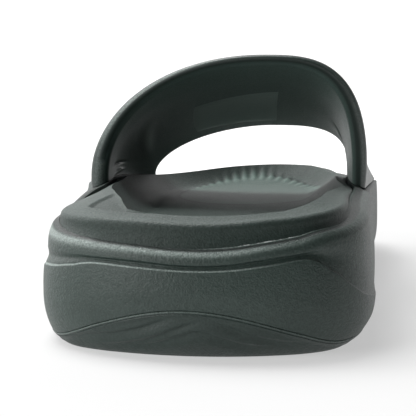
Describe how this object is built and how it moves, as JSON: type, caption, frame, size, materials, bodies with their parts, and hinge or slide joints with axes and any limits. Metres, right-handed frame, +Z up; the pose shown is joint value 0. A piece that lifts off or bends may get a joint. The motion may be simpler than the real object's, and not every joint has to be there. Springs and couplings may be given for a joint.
{
  "type": "sport slide sandal",
  "caption": "Left sport slide sandal: thick bulging foam sole with a wave at the heel, cupped footbed with a raised rim, and one wide padded strap open at toe and heel",
  "frame": {"origin": "On the ground, at the middle of the box around the whole slide", "axes": "+Y from heel to toe, +X to the medial side, +Z up from the ground"},
  "size_m": [0.1096, 0.2903, 0.0813],
  "materials": {
    "outsole": "satin moulded rubber foam, dark grey green",
    "midsole": "fine speckled moulded foam, dark grey green",
    "footbed": "matt moulded foam with fine grain",
    "strap": "smooth moulded foam, satin, dark inside"
  },
  "bodies": {
    "root": {"outsole": "outsole", "midsole": "midsole", "footbed": "footbed", "strap": "strap"}
  },
  "joints": []
}
